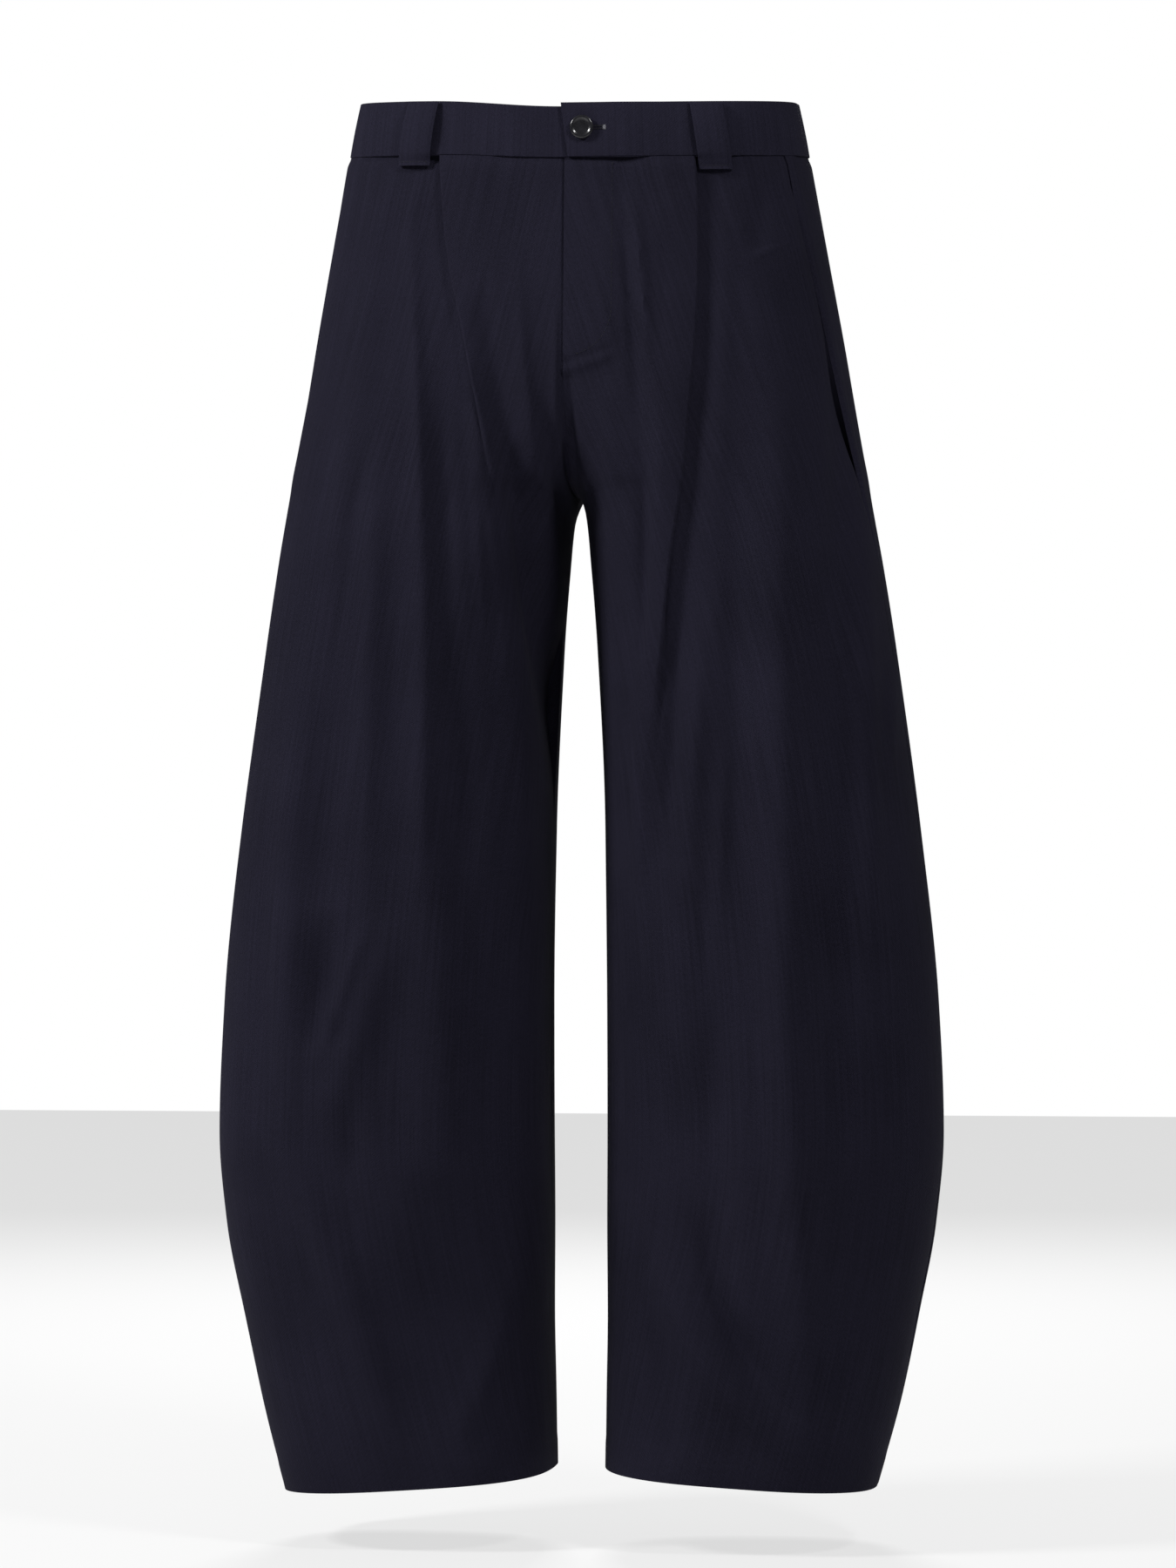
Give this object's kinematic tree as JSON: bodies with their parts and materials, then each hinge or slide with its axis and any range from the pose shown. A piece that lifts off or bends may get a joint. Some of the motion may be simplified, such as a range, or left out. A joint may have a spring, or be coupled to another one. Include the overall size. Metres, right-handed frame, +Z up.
{
  "type": "wide-leg trousers",
  "caption": "Hollow wide-leg trousers with a pleated front, curved legs, a buttoned waistband and belt loops, filled out as worn.",
  "frame": {"origin": "middle of the waist opening, level with the front's top edge, where the wearer holds the trousers up", "axes": "+Z up out of the waist, the front faces -Y, the wearer's left is +X"},
  "size_m": [0.5401, 0.2595, 1.0432],
  "materials": {
    "cloth": "matt, fine twill weave",
    "waistband": "matt, fine twill weave, pressed",
    "loop": "matt, fine twill weave, folded strip",
    "button": "polished"
  },
  "bodies": {
    "root": {"front_left": "cloth", "front_right": "cloth", "back_left": "cloth", "back_right": "cloth", "waistband_left": "waistband", "waistband_right": "waistband", "belt_loop_front_left": "loop", "belt_loop_front_right": "loop", "belt_loop_side_left": "loop", "belt_loop_side_right": "loop", "belt_loop_back": "loop", "button": "button"}
  },
  "joints": []
}
